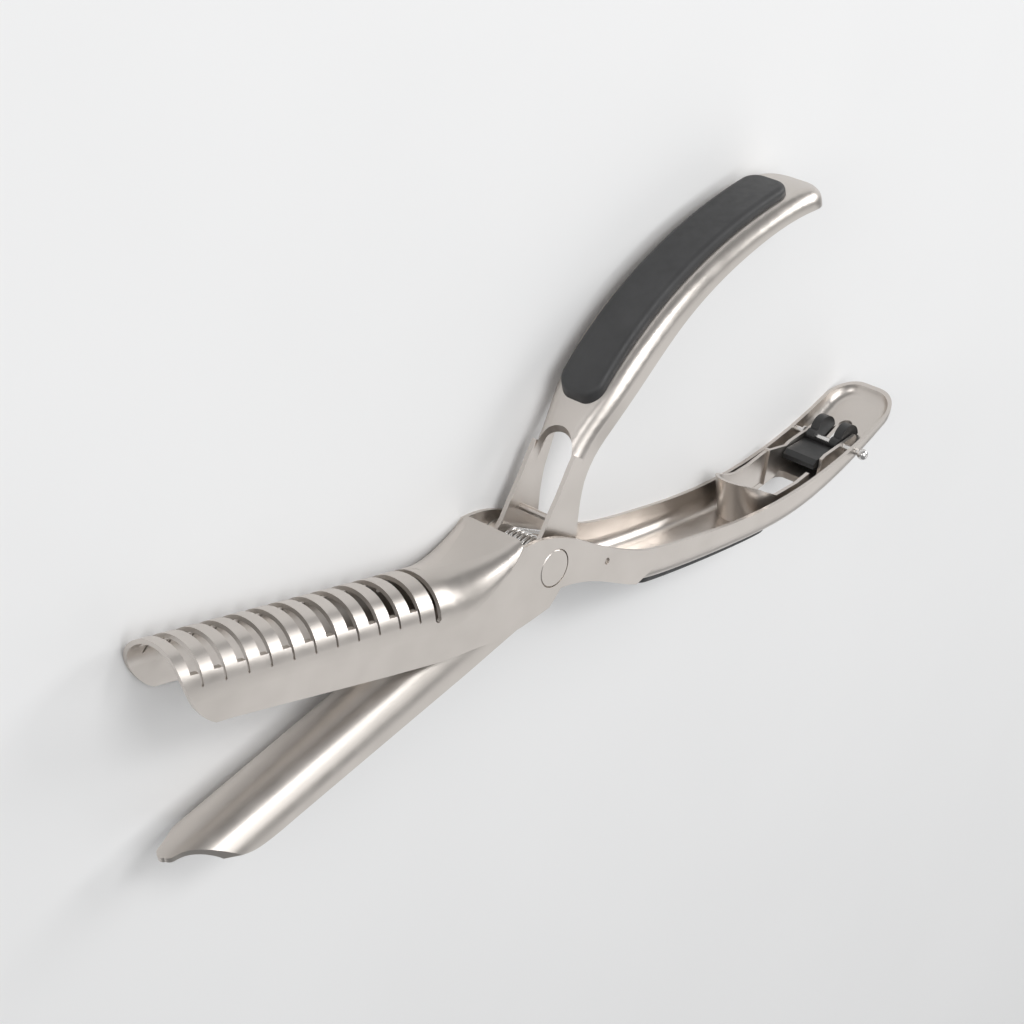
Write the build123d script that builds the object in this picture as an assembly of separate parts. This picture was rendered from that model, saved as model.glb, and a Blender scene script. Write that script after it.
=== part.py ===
from build123d import *
from math import atan2, cos, degrees, hypot, pi, radians, sin, sqrt
import os

# Plier-type locking kitchen tong, millimetres, +Z up. The tool lies on its side: Z is the pivot axis,
# the handles point to +X and the nested jaws to -X. The origin is on the pivot axis, on the outer face of
# the far cheek.
# Each die-cast frame is drawn with its own jaw level along -X and then turned to the open pose.

# overall sizes
HALF_WIDTH = 11.8
WALL = 1.2
JAW_CLEAR = 0.4
JAW_LENGTH = 131.5
RIDGE_LENGTH = 134.5
AXIS_DROP = 8.9
OPEN_UPPER = 12.8
OPEN_LOWER = 12.7

# slotted jaw
SKIRT_FRONT = 6.8
SKIRT_REAR = 9.4
SLOT_COUNT = 12
SLOT_PITCH = 7.42
SLOT_FIRST = 124.6
SLOT_WINDOW = 3.4
SLOT_SLIT = 0.7
SLOT_HOOK = 2.2
SLOT_WINDOW_DEPTH = 5.2
SLOT_SLIT_DEPTH = 7.9
TUBE_END = 40.0
RIM_X = 13.6
RIM_RISE = 9.9

# ridge jaw
RIDGE_R = HALF_WIDTH - WALL - JAW_CLEAR
RIDGE_WALL = 1.4
RIDGE_SKIRT = 1.9
RIDGE_END = 12.0

# pivot
PIVOT_R = 2.5
DISC_R = 5.5
DISC_GAP = 0.08
DISC_CHAMFER = 0.35
RUN_CLEAR = 0.05
WASHER_T = 0.4
SIDE_PLAY = 0.03
BOSS_R = 6.2
CHEEK_IN = HALF_WIDTH - WALL

# hub and handles
HUB_HALF = 7.8
HUB_WALL = 1.4
HANDLE_WALL = 1.8
SHOULDER_LOWER = 5.0
SHOULDER_UPPER = 4.6
UPPER_HALF = 11.4
LOWER_TIP_X = 161.5
UPPER_TIP_X = 131.5
TIP_R = 9.0

# grips
GRIP_HALF = 7.2
GRIP_PROUD = 3.0
TRAY_DEPTH = 0.8
TRAY_INSET = 0.7
GRIP_END_R = 5.0
GRIP_EDGE_R = 1.8
GRIP_LAP = 1.5
LOWER_GRIP = (45.0, 108.0)
UPPER_GRIP = (29.0, 118.5)

# torsion spring
WIRE = 1.2
COIL_R = 5.3
COIL_TURNS = 6.0
COIL_PITCH = 1.57
BUSH_GAP = 0.35
BUSH_R = COIL_R - WIRE / 2 - BUSH_GAP
ANCHOR_R = 1.0
ANCHOR_RECESS = 0.6
ANCHOR_LOWER = (22.9, -2.4)
ANCHOR_UPPER = (8.6, 7.6)

# cup and latch
CUP_X = 101.6
CUP_Y = -1.0
CUP_TILT = 20.0
CUP_R = 8.3
JOG_X = 121.0
LATCH_X = 139.5
LATCH_Y = 10.9
ROD_R = 1.0
BALL_R = 1.7
BALL_STAND = 2.6
BALL_Z = HALF_WIDTH + BALL_STAND
RAIL_IN = 6.2
RAIL_T = 1.1
LEVER_GAP = 0.4
RING_R = 1.8
KNUCKLE_R = 2.0
ROD_SCOOP_R = 3.2
ROD_SCOOP_Y = 2.6
EAR_IN = 2.9
EAR_R = 4.6
EAR_CENTRE = (144.2, 12.2)
EAR_FLOOR_GAP = 0.45
HANG_X = 145.8
HANG_RUN = 7.0
HANG_R = 2.5
WINDOW_X = 118.45
WINDOW_LENGTH = 17.9
WINDOW_WIDTH = 14.0
WINDOW_R = 3.0

# outlines: crown is the outer face along the middle, brim the open edge of the channel
LOWER_CROWN = [(24, -8.8), (37, -12.8), (58, -13.3), (86, -11.0), (114, -6.2), (141, 6.0), (163, 21.5)]
LOWER_BRIM = [(24, 1.0), (40, -2.5), (60, -2.9), (88, -1.4), (116, 4.0), (140, 13.2), (164, 27.0)]
UPPER_CROWN = [(12.5, 19.2), (25.6, 30.4), (46.5, 42.3), (76.2, 50.3), (108, 50.9), (122, 48.6), (134, 42.6)]
UPPER_BRIM = [(20, 14.4), (29, 23.3), (43.5, 32.2), (66, 41.6), (93, 45.6), (121, 43.0), (134, 38.2)]


def offset_points(points, distance):
    curve = Spline(*[Vector(x, y, 0) for x, y in points])
    shifted = []
    count = 2 * len(points)
    for i in range(count + 1):
        spot = curve @ (i / count)
        run = curve % (i / count)
        shifted.append((spot.X - run.Y * distance, spot.Y + run.X * distance))
    return shifted


def side_slab(crown, brim, half):
    start = Vector(*crown[0], 0)
    finish = Vector(*crown[-1], 0)
    top = Spline(*[Vector(x, y, 0) for x, y in crown])
    low = Spline(*[Vector(x, y, 0) for x, y in brim])
    near = Line(start, Vector(*brim[0], 0))
    far = Line(finish, Vector(*brim[-1], 0))
    face = make_face([top, far, low, near])
    return extrude(Plane.XY.offset(-half) * face, 2 * half, dir=(0, 0, 1))


def polygon_plate(points, z0, z1):
    face = make_face(Polyline(*points, close=True))
    return extrude(Plane.XY.offset(z0) * face, z1 - z0, dir=(0, 0, 1))


def rod(x, y, radius, z0, z1):
    return Pos(x, y, (z0 + z1) / 2) * Cylinder(radius, z1 - z0)


def tip_plan(start, tip, half, radius, y0, y1):
    centre = tip - radius
    block = Box(centre - start, y1 - y0, 2 * half)
    block = Pos((start + centre) / 2, (y0 + y1) / 2, 0) * block
    inner = Box(radius, y1 - y0, 2 * (half - radius))
    block += Pos(centre + radius / 2, (y0 + y1) / 2, 0) * inner
    for side in (-1, 1):
        post = Cylinder(radius, y1 - y0, rotation=(90, 0, 0))
        block += Pos(centre, (y0 + y1) / 2, side * (half - radius)) * post
    return block


def flare_plan(inset, tip, y0, y1):
    half = UPPER_HALF - inset
    hub = HUB_HALF - inset
    middle = (hub + half) / 2 + 0.2
    run = Spline((20, hub), (32, middle), (46, half - 0.15), (60, half), tangents=[(1, 0), (1, 0)])
    back = Spline((60, -half), (46, -half + 0.15), (32, -middle), (20, -hub), tangents=[(-1, 0), (-1, 0)])
    ends = [Line((6, hub), (20, hub)), Line((60, half), (60, -half)), Line((20, -hub), (6, -hub)),
            Line((6, -hub), (6, hub))]
    face = make_face([run, back] + ends)
    body = extrude(face, y1 - y0, dir=(0, 0, 1))
    body = Pos(0, y1, 0) * (Rot(90, 0, 0) * body)
    return body + tip_plan(58, tip - inset, half, TIP_R - inset, y0, y1)


def shoulder_edges(body, crown, gap):
    curve = Spline(*[Vector(x, y, 0) for x, y in crown])
    chosen = []
    for edge in body.edges():
        spots = [edge @ t for t in (0.1, 0.5, 0.9)]
        if all(curve.distance_to(Vector(s.X, s.Y, 0)) < gap for s in spots):
            if any(abs(s.Z) > 1.0 for s in spots) and edge.length > 2.0:
                chosen.append(edge)
    return chosen


def rounded(body, crown, radius):
    edges = shoulder_edges(body, crown, 0.02)
    return fillet(edges, radius)


def u_section(x, half, top, bottom, corner):
    flat = half - corner
    low_n = Vector(x, bottom, half)
    high_n = Vector(x, top - corner, half)
    top_n = Vector(x, top, flat)
    top_f = Vector(x, top, -flat)
    high_f = Vector(x, top - corner, -half)
    low_f = Vector(x, bottom, -half)
    mid_n = Vector(x, top - corner + corner * sin(pi / 4), flat + corner * cos(pi / 4))
    mid_f = Vector(x, top - corner + corner * sin(pi / 4), -flat - corner * cos(pi / 4))
    edges = [Line(low_n, high_n), ThreePointArc(high_n, mid_n, top_n), Line(top_n, top_f),
             ThreePointArc(top_f, mid_f, high_f), Line(high_f, low_f), Line(low_f, low_n)]
    return make_face(edges)


def channel(x0, x1, half, top, bottom, corner):
    return extrude(u_section(x0, half, top, bottom, corner), x1 - x0, dir=(1, 0, 0))


def slotted_jaw():
    top = HALF_WIDTH - AXIS_DROP
    low = -AXIS_DROP - SKIRT_REAR
    corner = HALF_WIDTH - 0.3
    body = channel(-JAW_LENGTH, -TUBE_END, HALF_WIDTH, top, low, corner)
    stations = [(-TUBE_END, top, corner), (-32, top + 0.5, corner - 1.2), (-24, top + 2.2, 7.2),
                (-RIM_X, RIM_RISE, 3.6)]
    outer = [u_section(x, HALF_WIDTH, y, low, c) for x, y, c in stations]
    body += loft(outer)
    inner_half = HALF_WIDTH - WALL
    hollow = channel(-JAW_LENGTH - 1, -TUBE_END, inner_half, top - WALL, low - 1, corner - WALL)
    inner = [u_section(x, inner_half, y - WALL, low - 1, max(c - WALL, 2.4)) for x, y, c in stations]
    hollow += loft(inner)
    hollow += channel(-RIM_X, -RIM_X + 2, inner_half, RIM_RISE - WALL, low - 1, 2.4)
    body -= hollow
    return body


def jaw_front_cut():
    top = HALF_WIDTH - AXIS_DROP
    low = -AXIS_DROP - SKIRT_FRONT
    nose = -JAW_LENGTH
    back = nose + 18.0
    sweep_curve = Spline((nose, top + 0.1), (nose + 0.4, -2.2), (nose + 2.9, -8.2), (nose + 6.9, -12.7),
                         (nose + 11.4, low + 0.2), (back, low - 0.4))
    tail = [Line((back, low - 0.4), (back, low - 20)), Line((back, low - 20), (nose - 10, low - 20)),
            Line((nose - 10, low - 20), (nose - 10, top + 0.1)), Line((nose - 10, top + 0.1), (nose, top + 0.1))]
    face = make_face([sweep_curve] + tail)
    return extrude(Plane.XY.offset(-20) * face, 40, dir=(0, 0, 1))


def skirt_cut():
    low_front = -AXIS_DROP - SKIRT_FRONT
    low_rear = -AXIS_DROP - SKIRT_REAR
    points = [(-JAW_LENGTH - 1, low_front), (-JAW_LENGTH + 17.5, low_front), (-60, low_rear + 0.6),
              (-40, low_rear + 0.1), (-24, low_rear + 1.2), (-10, low_rear + 3.2), (-10, low_rear - 20),
              (-JAW_LENGTH - 1, low_rear - 20)]
    return polygon_plate(points, -20, 20)


def slot_cuts():
    top = HALF_WIDTH - AXIS_DROP
    cuts = []
    for i in range(SLOT_COUNT):
        edge = -SLOT_FIRST + i * SLOT_PITCH
        last = i == SLOT_COUNT - 1
        if last:
            depth = SLOT_SLIT_DEPTH + 0.4
            height = depth + 6
            cut = Pos(edge - SLOT_HOOK / 2, top - depth + height / 2, 0) * Box(SLOT_HOOK, height, 60)
            cut += Pos(edge - SLOT_HOOK / 2, top - depth, 0) * Cylinder(SLOT_HOOK / 2, 60)
        else:
            height = SLOT_WINDOW_DEPTH + 6
            cut = Pos(edge - SLOT_WINDOW / 2, top - SLOT_WINDOW_DEPTH + height / 2, 0) * Box(SLOT_WINDOW, height, 60)
            tall = SLOT_SLIT_DEPTH + 6
            cut += Pos(edge - SLOT_SLIT / 2, top - SLOT_SLIT_DEPTH + tall / 2, 0) * Box(SLOT_SLIT, tall, 60)
            cut += Pos(edge - SLOT_SLIT / 2, top - SLOT_SLIT_DEPTH, 0) * Cylinder(SLOT_SLIT / 2, 60)
        cuts.append(cut)
    return cuts


def cheeks():
    low_rear = -AXIS_DROP - SKIRT_REAR
    upper = Spline((-RIM_X, RIM_RISE - 1.2), (-7, 9.5), (0, 8.9), (8, 6.8), (17.4, 3.4), (28, 0.1), (40, -2.5))
    lower = Spline((38.5, -12.6), (31, -10.8), (22.5, -8.4), (15, -6.9), (9, -6.4), (4.2, -6.6))
    toe = [Line((40, -2.5), (46, -4.0)), Line((46, -4.0), (46, -8.6)), Line((46, -8.6), (38.5, -12.6)),
           Line((4.2, -6.6), (2.4, -9.2)), Line((2.4, -9.2), (0.6, -11.6)),
           Spline((0.6, -11.6), (-4, -13.2), (-12, -15.6), (-24, low_rear + 1.2)),
           Line((-24, low_rear + 1.2), (-24, -4)), Line((-24, -4), (-RIM_X, RIM_RISE - 1.2))]
    face = make_face([upper, lower] + toe)
    pair = extrude(Plane.XY.offset(CHEEK_IN) * face, WALL, dir=(0, 0, 1))
    pair += extrude(Plane.XY.offset(-HALF_WIDTH) * face, WALL, dir=(0, 0, 1))
    return pair


def lower_outer():
    slab = side_slab(LOWER_CROWN, LOWER_BRIM, HALF_WIDTH + 2)
    solid = slab & tip_plan(20, LOWER_TIP_X, HALF_WIDTH, TIP_R, -30, 40)
    return rounded(solid, LOWER_CROWN, SHOULDER_LOWER)


def lower_handle():
    crown_in = offset_points(LOWER_CROWN, HANDLE_WALL)
    brim_out = [(x, y + 8) for x, y in LOWER_BRIM]
    brim_out[0] = (brim_out[0][0] - 2, brim_out[0][1])
    crown_in[0] = (crown_in[0][0] - 2, crown_in[0][1] + 0.4)
    hollow = side_slab(crown_in, brim_out, HALF_WIDTH + 2)
    hollow = hollow & tip_plan(16, LOWER_TIP_X - WALL, HALF_WIDTH - WALL, TIP_R - WALL, -30, 50)
    hollow = rounded(hollow, crown_in, SHOULDER_LOWER - 1.4)
    return lower_outer() - hollow


def above_floor(depth):
    start = offset_points(LOWER_CROWN, depth)
    return side_slab(start, [(x, y + 40) for x, y in start], 20)


def handle_cup():
    height = 80
    ring = Cylinder(CUP_R, height, rotation=(90, 0, 0)) - Cylinder(CUP_R - WALL, height, rotation=(90, 0, 0))
    ring &= Pos(-CUP_R, 0, 0) * Box(2 * CUP_R, height, 3 * CUP_R)
    for side in (-1, 1):
        ring += Pos(20, 0, side * (CUP_R - WALL / 2)) * Box(40, height, WALL)
    keyhole = Pos(CUP_X, CUP_Y, 0) * (Rot(0, 0, CUP_TILT) * ring)
    reach = JOG_X + WALL / 2
    keep = [(84, 5.6), (93, 5.2), (97, 4.2), (101, 3.0), (106, 2.8), (112, 4.4), (reach, 8.2),
            (reach, -30), (84, -30)]
    low_side = [(99, 3.4), (106, 1.2), (116, 3.4), (reach, 5.6), (reach, 20), (99, 20)]
    wall = keyhole & polygon_plate(keep, -12, 12) & above_floor(HANDLE_WALL / 2)
    return wall - polygon_plate(low_side, 0, 12)


def latch_rails():
    top = [(129.0, 8.4), (130.5, 9.4), (145.0, 14.0), (145.8, 13.2), (145.8, -10)]
    near = polygon_plate([(129.0, -10)] + top, RAIL_IN, RAIL_IN + RAIL_T)
    far_line = [(JOG_X - WALL / 2, -10), (JOG_X - WALL / 2, 8.2)]
    far = polygon_plate(far_line + top, -RAIL_IN - RAIL_T, -RAIL_IN)
    jog = polygon_plate(far_line + [(JOG_X + WALL / 2, 8.2), (JOG_X + WALL / 2, -10)], -CUP_R, -RAIL_IN)
    return (near + far + jog) & above_floor(HANDLE_WALL / 2)


def floor_window():
    block = Box(WINDOW_LENGTH, 24, WINDOW_WIDTH)
    block = fillet(block.edges().filter_by(Axis.Y), WINDOW_R)
    return Pos(WINDOW_X, 0, 0) * block


def hang_slot():
    block = Box(HANG_RUN, 40, 2 * HANG_R)
    for side in (-1, 1):
        block += Pos(side * HANG_RUN / 2, 0, 0) * Cylinder(HANG_R, 40, rotation=(90, 0, 0))
    return Pos(HANG_X, 0, 0) * block


def tray_pocket(crown, sign, x0, x1):
    low = offset_points(crown, sign * TRAY_DEPTH)
    high = offset_points(crown, -sign * 6)
    slab = side_slab(low, high, 20)
    return slab & grip_plan(x0 + TRAY_INSET, x1 - TRAY_INSET, GRIP_HALF - TRAY_INSET, GRIP_END_R - TRAY_INSET)


def grip_plan(x0, x1, half, radius):
    block = Box(x1 - x0, 120, 2 * half)
    block = fillet(block.edges().filter_by(Axis.Y), radius)
    return Pos((x0 + x1) / 2, 20, 0) * block


def grip_tray(crown, sign, x0, x1):
    low = offset_points(crown, sign * TRAY_DEPTH)
    slab = side_slab(low, crown, 20)
    return slab & grip_plan(x0 + TRAY_INSET, x1 - TRAY_INSET, GRIP_HALF - TRAY_INSET, GRIP_END_R - TRAY_INSET)


def grip_skin(crown, sign, x0, x1, metal):
    top = offset_points(crown, -sign * GRIP_PROUD)
    slab = side_slab(offset_points(crown, sign * GRIP_LAP), top, 20)
    body = slab & grip_plan(x0, x1, GRIP_HALF, GRIP_END_R)
    return rounded(body, top, GRIP_EDGE_R) - metal


def slotted_frame():
    body = slotted_jaw()
    body -= jaw_front_cut()
    body -= skirt_cut()
    for cut in slot_cuts():
        body -= cut
    body += cheeks()
    body += lower_handle() - floor_window() - hang_slot()
    body += handle_cup()
    body += latch_rails()
    body -= tray_pocket(LOWER_CROWN, 1, LOWER_GRIP[0], LOWER_GRIP[1])
    body -= rod(0, 0, DISC_R + DISC_GAP, CHEEK_IN - 1, HALF_WIDTH + 1)
    body -= rod(0, 0, DISC_R + DISC_GAP, -HALF_WIDTH - 1, -CHEEK_IN + 1)
    body -= rod(*ANCHOR_LOWER, ANCHOR_R, -20, 20)
    body -= rod(LATCH_X, LATCH_Y, ROD_R, -20, 20)
    return body


def ridge_jaw():
    top = RIDGE_R - AXIS_DROP
    low = -AXIS_DROP - RIDGE_SKIRT
    nose = -RIDGE_LENGTH
    body = channel(nose - 1, -RIDGE_END, RIDGE_R, top, low, RIDGE_R - 0.3)
    inner = RIDGE_R - RIDGE_WALL
    body -= channel(nose - 2, -RIDGE_END - RIDGE_WALL, inner, top - RIDGE_WALL, low - 1, inner - 0.3)
    spade = [(nose + 19.5, RIDGE_R + 0.2), (nose + 15.3, 9.6), (nose + 9.7, 6.4), (nose + 3.4, 3.0),
             (nose + 0.7, 1.3)]
    run = Spline(*spade, tangents=[(-1, 0), (-0.35, -1)])
    tip = ThreePointArc((nose + 0.7, 1.3), (nose, 0), (nose + 0.7, -1.3))
    mirror_points = [(x, -z) for x, z in reversed(spade)]
    back = Spline(*mirror_points, tangents=[(0.35, -1), (1, 0)])
    wide = RIDGE_R + 0.2
    box = [Line((nose + 19.5, -wide), (0, -wide)), Line((0, -wide), (0, wide)), Line((0, wide), (nose + 19.5, wide))]
    face = make_face([run, tip, back] + box)
    keep = Pos(0, 20, 0) * (Rot(90, 0, 0) * extrude(face, 40, dir=(0, 0, 1)))
    rim = Spline((-123.5, -5.4), (-119, -6.4), (-115, -8.1), (-109.5, -9.2), (-100, -9.5))
    below = [Line((-100, -9.5), (-36, low)), Line((-36, low), (-36, low - 6)), Line((-36, low - 6), (-123.5, low - 6)),
             Line((-123.5, low - 6), (-123.5, -5.4))]
    skirt = extrude(Plane.XY.offset(-20) * make_face([rim] + below), 40, dir=(0, 0, 1))
    return (body & keep) - skirt


def hub_plates():
    outer = Spline((-14, 0.2), (-7, 4.4), (0.2, 7.6), (5.2, 12.0), (10.3, 16.4), (15, 21.0), (18.5, 24.0))
    inner = Spline((23.2, 18.9), (20.6, 15.4), (16.6, 8.0), (14.4, 2.0), (12.0, -3.4), (8.4, -7.2), (3.0, -9.4),
                   (-5, -10.4), (-14, -10.7))
    face = make_face([outer, Line((18.5, 24.0), (23.2, 18.9)), inner, Line((-14, -10.7), (-14, 0.2))])
    pair = extrude(Plane.XY.offset(HUB_HALF - HUB_WALL) * face, HUB_WALL, dir=(0, 0, 1))
    pair += extrude(Plane.XY.offset(-HUB_HALF) * face, HUB_WALL, dir=(0, 0, 1))
    return pair


def upper_outer():
    slab = side_slab(UPPER_CROWN, UPPER_BRIM, UPPER_HALF + 2)
    solid = slab & flare_plan(0, UPPER_TIP_X, -10, 70)
    return rounded(solid, UPPER_CROWN, SHOULDER_UPPER)


def upper_handle():
    crown_in = offset_points(UPPER_CROWN, -HANDLE_WALL)
    brim_out = [(x + 2, y - 8) for x, y in UPPER_BRIM]
    hollow = side_slab(crown_in, brim_out, UPPER_HALF + 2)
    hollow = hollow & flare_plan(HUB_WALL, UPPER_TIP_X, -20, 70)
    hollow = rounded(hollow, crown_in, SHOULDER_UPPER - 1.6)
    return upper_outer() - hollow


def arch_window():
    half = HUB_HALF - HUB_WALL
    straight = Box(24, 60, 2 * half)
    arch = Pos(4.4, 24, 0) * straight
    arch += Pos(16.4, 24, 0) * Cylinder(half, 60, rotation=(90, 0, 0))
    return arch


def ridge_frame():
    body = ridge_jaw()
    body += hub_plates()
    for side in (-1, 1):
        z0 = HUB_HALF if side > 0 else -CHEEK_IN + WASHER_T + 2 * SIDE_PLAY
        z1 = CHEEK_IN - WASHER_T - 2 * SIDE_PLAY if side > 0 else -HUB_HALF
        body += rod(0, 0, BOSS_R, z0, z1)
    shell = upper_handle() - arch_window()
    body += shell
    body -= tray_pocket(UPPER_CROWN, -1, UPPER_GRIP[0], UPPER_GRIP[1])
    body -= rod(0, 0, PIVOT_R + RUN_CLEAR, -20, 20)
    body -= rod(*ANCHOR_UPPER, ANCHOR_R, -20, 20)
    return body


def pivot_pin():
    body = rod(0, 0, PIVOT_R, -HALF_WIDTH, HALF_WIDTH)
    disc = rod(0, 0, DISC_R, CHEEK_IN, HALF_WIDTH)
    disc = chamfer(disc.edges().filter_by(GeomType.CIRCLE).sort_by(Axis.Z)[-1], DISC_CHAMFER)
    return body + disc


def pivot_cap():
    disc = rod(0, 0, DISC_R, -HALF_WIDTH, -CHEEK_IN)
    disc = chamfer(disc.edges().filter_by(GeomType.CIRCLE).sort_by(Axis.Z)[0], DISC_CHAMFER)
    return disc - rod(0, 0, PIVOT_R, -20, 0)


def thrust_washers():
    solids = []
    for side in (-1, 1):
        inner = CHEEK_IN - SIDE_PLAY - WASHER_T
        outer = CHEEK_IN - SIDE_PLAY
        z0 = inner if side > 0 else -outer
        z1 = outer if side > 0 else -inner
        solids.append(rod(0, 0, BOSS_R - 0.2, z0, z1) - rod(0, 0, PIVOT_R + RUN_CLEAR, -20, 20))
    return solids[0] + solids[1]


def spring_bush():
    half = HUB_HALF - HUB_WALL - 0.3
    return rod(0, 0, BUSH_R, -half, half) - rod(0, 0, PIVOT_R + RUN_CLEAR, -20, 20)


def wire_run(start, end):
    run = end - start
    body = Plane(origin=start, z_dir=run) * Pos(0, 0, run.length / 2) * Cylinder(WIRE / 2, run.length)
    return body + Pos(*start) * Sphere(WIRE / 2) + Pos(*end) * Sphere(WIRE / 2)


def turned(x, y, angle):
    c = cos(radians(angle))
    s = sin(radians(angle))
    return x * c - y * s, x * s + y * c


def asin_safe(value):
    return atan2(value, sqrt(1 - value * value))


def torsion_spring():
    # The leg leaves the coil on a tangent and lies against its anchor pin on the side it pushes.
    lower = turned(*ANCHOR_LOWER, -OPEN_UPPER)
    upper = turned(*ANCHOR_UPPER, OPEN_LOWER)
    stand = ANCHOR_R + WIRE / 2 + 0.02
    # the lower leg starts at one end of the coil and passes above its pin
    base = atan2(lower[1], lower[0])
    reach = hypot(*lower)
    lean = asin_safe((COIL_R - stand) / reach)
    length_l = sqrt(reach ** 2 - (COIL_R - stand) ** 2) + 3.0
    start_l = base - lean + pi / 2
    d0 = Vector(cos(base - lean), sin(base - lean), 0)
    # upper leg starts at the coil bottom and passes below its pin
    base_u = atan2(upper[1], upper[0])
    reach_u = hypot(*upper)
    lean_u = asin_safe((COIL_R - stand) / reach_u)
    start_u = base_u + lean_u - pi / 2
    d1 = Vector(cos(base_u + lean_u), sin(base_u + lean_u), 0)
    length_u = sqrt(reach_u ** 2 - (COIL_R - stand) ** 2) + 2.0
    # the coil winds counter-clockwise from the lower leg's root, falling to the upper leg's root
    sweep_angle = (start_u - start_l) % (2 * pi)
    turns = COIL_TURNS - 1 + sweep_angle / (2 * pi)
    total = turns * COIL_PITCH
    helix = Helix(COIL_PITCH, total, COIL_R)
    path = Pos(0, 0, -total / 2) * (Rot(0, 0, degrees(start_l)) * helix)
    first = path @ 0
    last = path @ 1
    section = Plane(origin=first, z_dir=path % 0) * Circle(WIRE / 2)
    coil = sweep(section, path=path)
    low_leg = wire_run(first, first + d0 * length_l)
    up_leg = wire_run(last, last + d1 * length_u)
    return coil + low_leg + up_leg


def anchor_lower():
    reach = HALF_WIDTH - ANCHOR_RECESS
    return rod(*ANCHOR_LOWER, ANCHOR_R, -reach, reach)


def anchor_upper():
    return rod(*ANCHOR_UPPER, ANCHOR_R, -HUB_HALF, HUB_HALF)


def latch_lever():
    half = RAIL_IN - LEVER_GAP
    body = polygon_plate([(127.4, 4.9), (127.0, 6.4), (128.4, 7.9), (137.0, 9.8), (140.4, 10.2), (139.6, 8.8),
                          (135.0, 7.0), (130.4, 5.0)], -half, half)
    body += rod(LATCH_X, LATCH_Y, KNUCKLE_R, -half, half)
    clear = above_floor(HANDLE_WALL + EAR_FLOOR_GAP)
    for side in (-1, 1):
        z0 = EAR_IN if side > 0 else -half
        z1 = half if side > 0 else -EAR_IN
        body += rod(*EAR_CENTRE, EAR_R, z0, z1) & clear
    body -= rod(LATCH_X, LATCH_Y + ROD_SCOOP_Y, ROD_SCOOP_R, -EAR_IN, EAR_IN)
    body -= rod(LATCH_X, LATCH_Y, ROD_R + RUN_CLEAR, -20, 20)
    return body


def latch_pin():
    return rod(LATCH_X, LATCH_Y, ROD_R, -HALF_WIDTH, BALL_Z)


def latch_ball():
    ball = Pos(LATCH_X, LATCH_Y, BALL_Z) * Sphere(BALL_R)
    return ball - rod(LATCH_X, LATCH_Y, ROD_R, -20, BALL_Z)


def latch_ring():
    disc = rod(LATCH_X, LATCH_Y, RING_R, -RAIL_IN - RAIL_T - 0.6, -RAIL_IN - RAIL_T)
    return disc - rod(LATCH_X, LATCH_Y, ROD_R, -20, 0)


def save(name, solid, angle):
    placed = Pos(0, 0, HALF_WIDTH) * (Rot(0, 0, angle) * solid)
    export_step(placed, os.path.join("parts", name + ".step"))



os.makedirs("parts", exist_ok=True)
save("frame_slotted", slotted_frame(), -OPEN_UPPER)
save("frame_ridge", ridge_frame(), OPEN_LOWER)
save("grip_lower_tray", grip_tray(LOWER_CROWN, 1, *LOWER_GRIP), -OPEN_UPPER)
save("grip_lower_skin", grip_skin(LOWER_CROWN, 1, *LOWER_GRIP, lower_outer()), -OPEN_UPPER)
save("grip_upper_tray", grip_tray(UPPER_CROWN, -1, *UPPER_GRIP), OPEN_LOWER)
save("grip_upper_skin", grip_skin(UPPER_CROWN, -1, *UPPER_GRIP, upper_outer()), OPEN_LOWER)
save("pivot_pin", pivot_pin(), 0)
save("pivot_far_cap", pivot_cap(), 0)
save("thrust_washers", thrust_washers(), 0)
save("spring_bush", spring_bush(), 0)
save("torsion_spring", torsion_spring(), 0)
save("anchor_pin_lower", anchor_lower(), -OPEN_UPPER)
save("anchor_pin_upper", anchor_upper(), OPEN_LOWER)
save("latch_lever", latch_lever(), -OPEN_UPPER)
save("latch_pin", latch_pin(), -OPEN_UPPER)
save("latch_ball", latch_ball(), -OPEN_UPPER)
save("latch_pin_ring", latch_ring(), -OPEN_UPPER)
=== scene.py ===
import bpy
from mathutils import Matrix, Vector

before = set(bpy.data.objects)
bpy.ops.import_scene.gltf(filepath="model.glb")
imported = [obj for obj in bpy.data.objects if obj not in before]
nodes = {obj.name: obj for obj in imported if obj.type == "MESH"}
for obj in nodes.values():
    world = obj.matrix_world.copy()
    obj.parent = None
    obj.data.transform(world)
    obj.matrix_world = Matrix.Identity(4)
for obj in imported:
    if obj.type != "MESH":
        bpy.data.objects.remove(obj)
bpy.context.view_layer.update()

# camera: a basis of its own, looking at the pivot
RIGHT = Vector((0.6756, 0.0, 0.7373)).normalized()
BACK = Vector((-0.6385, 0.5, 0.585))
BACK = (BACK - RIGHT * BACK.dot(RIGHT)).normalized()
UP = BACK.cross(RIGHT).normalized()
PIVOT = Vector((0.0, 0.0, 0.0118))
DISTANCE = 0.7027
AIM = PIVOT - RIGHT * 0.0027 + UP * 0.0111
SENSOR = 36.0
LENS = 91.4
FLOOR_HALF = 3.0

cam_data = bpy.data.cameras.new("camera")
cam_data.lens = LENS
cam_data.sensor_width = SENSOR
cam_data.clip_start = 0.01
cam_data.clip_end = 20.0
cam = bpy.data.objects.new("camera", cam_data)
bpy.context.collection.objects.link(cam)
turn = Matrix((RIGHT, UP, BACK)).transposed().to_4x4()
cam.matrix_world = Matrix.Translation(AIM + BACK * DISTANCE) @ turn
scene = bpy.context.scene
scene.camera = cam


# materials
def new_material(name):
    mat = bpy.data.materials.new(name)
    mat.use_nodes = True
    tree = mat.node_tree
    shader = tree.nodes["Principled BSDF"]
    coords = tree.nodes.new("ShaderNodeTexCoord")
    return mat, tree, shader, coords


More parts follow.
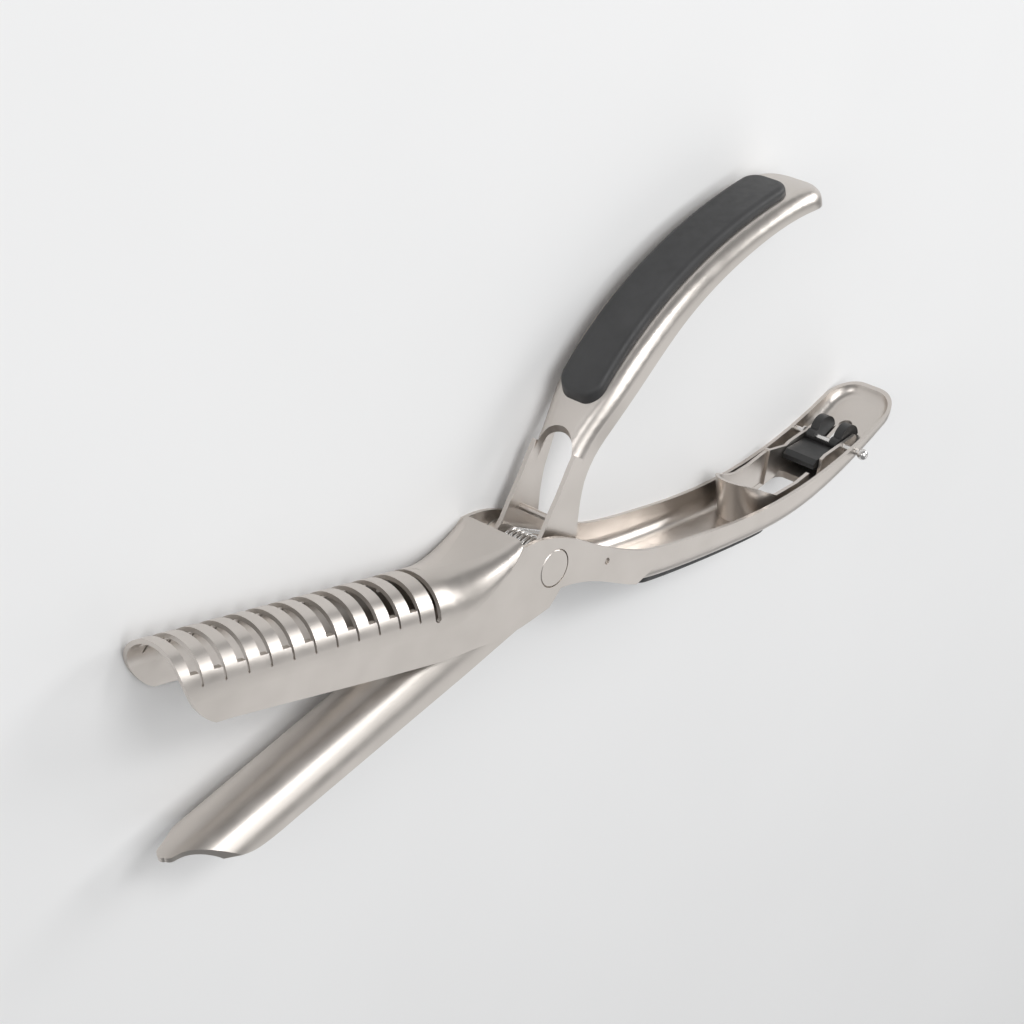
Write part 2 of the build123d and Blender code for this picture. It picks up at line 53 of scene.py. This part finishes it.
def noise(tree, coords, scale, detail=3.0, stretch=(1, 1, 1)):
    mapping = tree.nodes.new("ShaderNodeMapping")
    mapping.inputs["Scale"].default_value = stretch
    tree.links.new(coords.outputs["Object"], mapping.inputs["Vector"])
    tex = tree.nodes.new("ShaderNodeTexNoise")
    tex.inputs["Scale"].default_value = scale
    tex.inputs["Detail"].default_value = detail
    tree.links.new(mapping.outputs["Vector"], tex.inputs["Vector"])
    return tex.outputs["Fac"]


def ramp(tree, source, low, high, start=0.3, end=0.7):
    node = tree.nodes.new("ShaderNodeValToRGB")
    node.color_ramp.elements[0].position = start
    node.color_ramp.elements[1].position = end
    node.color_ramp.elements[0].color = low
    node.color_ramp.elements[1].color = high
    tree.links.new(source, node.inputs["Fac"])
    return node.outputs["Color"]


def grey(value):
    return (value, value, value, 1.0)


def bump(tree, shader, source, strength, depth):
    node = tree.nodes.new("ShaderNodeBump")
    node.inputs["Strength"].default_value = strength
    node.inputs["Distance"].default_value = depth
    tree.links.new(source, node.inputs["Height"])
    tree.links.new(node.outputs["Normal"], shader.inputs["Normal"])


def cast_metal():
    mat, tree, shader, coords = new_material("satin_cast_metal")
    wide = noise(tree, coords, 26.0, 4.0)
    fine = noise(tree, coords, 2600.0, 2.0)
    tint = ramp(tree, wide, (0.60, 0.56, 0.52, 1), (0.67, 0.625, 0.585, 1))
    rough = ramp(tree, noise(tree, coords, 140.0, 5.0), grey(0.30), grey(0.38))
    tree.links.new(tint, shader.inputs["Base Color"])
    tree.links.new(rough, shader.inputs["Roughness"])
    shader.inputs["Metallic"].default_value = 1.0
    bump(tree, shader, fine, 0.10, 0.00004)
    return mat


def polished_steel():
    mat, tree, shader, coords = new_material("polished_steel")
    tint = ramp(tree, noise(tree, coords, 90.0), (0.66, 0.64, 0.62, 1), (0.76, 0.75, 0.74, 1))
    rough = ramp(tree, noise(tree, coords, 260.0, 3.0), grey(0.22), grey(0.29))
    tree.links.new(tint, shader.inputs["Base Color"])
    tree.links.new(rough, shader.inputs["Roughness"])
    shader.inputs["Metallic"].default_value = 1.0
    bump(tree, shader, noise(tree, coords, 1200.0, 2.0), 0.02, 0.00001)
    return mat


def grip_rubber():
    mat, tree, shader, coords = new_material("soft_grip")
    blotch = noise(tree, coords, 60.0, 4.0)
    tint = ramp(tree, blotch, (0.034, 0.034, 0.035, 1), (0.050, 0.050, 0.051, 1))
    rough = ramp(tree, noise(tree, coords, 380.0, 4.0), grey(0.42), grey(0.56))
    tree.links.new(tint, shader.inputs["Base Color"])
    tree.links.new(rough, shader.inputs["Roughness"])
    shader.inputs["Specular IOR Level"].default_value = 0.45
    bump(tree, shader, noise(tree, coords, 3200.0, 2.0), 0.12, 0.00004)
    return mat


def hard_plastic():
    mat, tree, shader, coords = new_material("black_plastic")
    blotch = noise(tree, coords, 120.0, 3.0)
    tint = ramp(tree, blotch, (0.016, 0.016, 0.016, 1), (0.028, 0.027, 0.027, 1))
    rough = ramp(tree, noise(tree, coords, 520.0, 4.0), grey(0.30), grey(0.42))
    tree.links.new(tint, shader.inputs["Base Color"])
    tree.links.new(rough, shader.inputs["Roughness"])
    bump(tree, shader, noise(tree, coords, 2400.0, 2.0), 0.10, 0.00003)
    return mat


def washer_plastic():
    mat, tree, shader, coords = new_material("nylon")
    tint = ramp(tree, noise(tree, coords, 100.0, 3.0), (0.66, 0.65, 0.61, 1), (0.76, 0.75, 0.71, 1))
    rough = ramp(tree, noise(tree, coords, 480.0, 3.0), grey(0.45), grey(0.6))
    tree.links.new(tint, shader.inputs["Base Color"])
    tree.links.new(rough, shader.inputs["Roughness"])
    return mat


METAL = cast_metal()
STEEL = polished_steel()
RUBBER = grip_rubber()
PLASTIC = hard_plastic()
NYLON = washer_plastic()
finish_of = {
    "frame_slotted": METAL, "frame_ridge": METAL,
    "grip_lower_skin": RUBBER, "grip_upper_skin": RUBBER,
    "grip_lower_tray": PLASTIC, "grip_upper_tray": PLASTIC,
    "latch_lever": PLASTIC, "thrust_washers": NYLON, "spring_bush": NYLON,
    "pivot_pin": METAL, "pivot_far_cap": METAL,
    "anchor_pin_lower": METAL, "anchor_pin_upper": METAL,
}
for name, obj in nodes.items():
    obj.data.materials.clear()
    obj.data.materials.append(finish_of.get(name, STEEL))

# floor
floor_mesh = bpy.data.meshes.new("floor")
corners = [(x * FLOOR_HALF, y * FLOOR_HALF, 0) for x, y in ((-1, -1), (1, -1), (1, 1), (-1, 1))]
floor_mesh.from_pydata(corners, [], [(0, 1, 2, 3)])
floor = bpy.data.objects.new("floor", floor_mesh)
bpy.context.collection.objects.link(floor)
floor_mat, tree, shader, coords = new_material("floor")
tint = ramp(tree, noise(tree, coords, 8.0), (0.86, 0.86, 0.86, 1), (0.88, 0.88, 0.88, 1))
tree.links.new(tint, shader.inputs["Base Color"])
shader.inputs["Roughness"].default_value = 0.9
floor_mesh.materials.append(floor_mat)


# light
def softbox(name, direction, distance, wide, high, power):
    data = bpy.data.lights.new(name, "AREA")
    data.shape = "RECTANGLE"
    data.size = wide
    data.size_y = high
    data.energy = power
    lamp = bpy.data.objects.new(name, data)
    bpy.context.collection.objects.link(lamp)
    way = direction.normalized()
    lamp.location = PIVOT + way * distance
    lamp.rotation_euler = way.to_track_quat("Z", "Y").to_euler()


softbox("over", Vector((-0.1, 0.3, 1.0)), 1.3, 1.0, 0.8, 5.6)
softbox("upper_card", Vector((-0.01, 0.62, 0.72)), 1.1, 0.6, 0.22, 2.7)
softbox("right_card", Vector((0.83, 0.34, 0.44)), 1.1, 0.3, 0.6, 3.4)
softbox("fill", Vector((0.64, -0.5, 0.585)), 1.2, 1.0, 1.0, 2.1)
softbox("left", Vector((-1.0, 0.5, 0.4)), 1.1, 0.5, 0.4, 2.0)
world = bpy.data.worlds.new("world")
world.use_nodes = True
world.node_tree.nodes["Background"].inputs["Color"].default_value = (0.93, 0.94, 0.95, 1)
world.node_tree.nodes["Background"].inputs["Strength"].default_value = 0.28
scene.world = world
scene.view_settings.view_transform = "Standard"
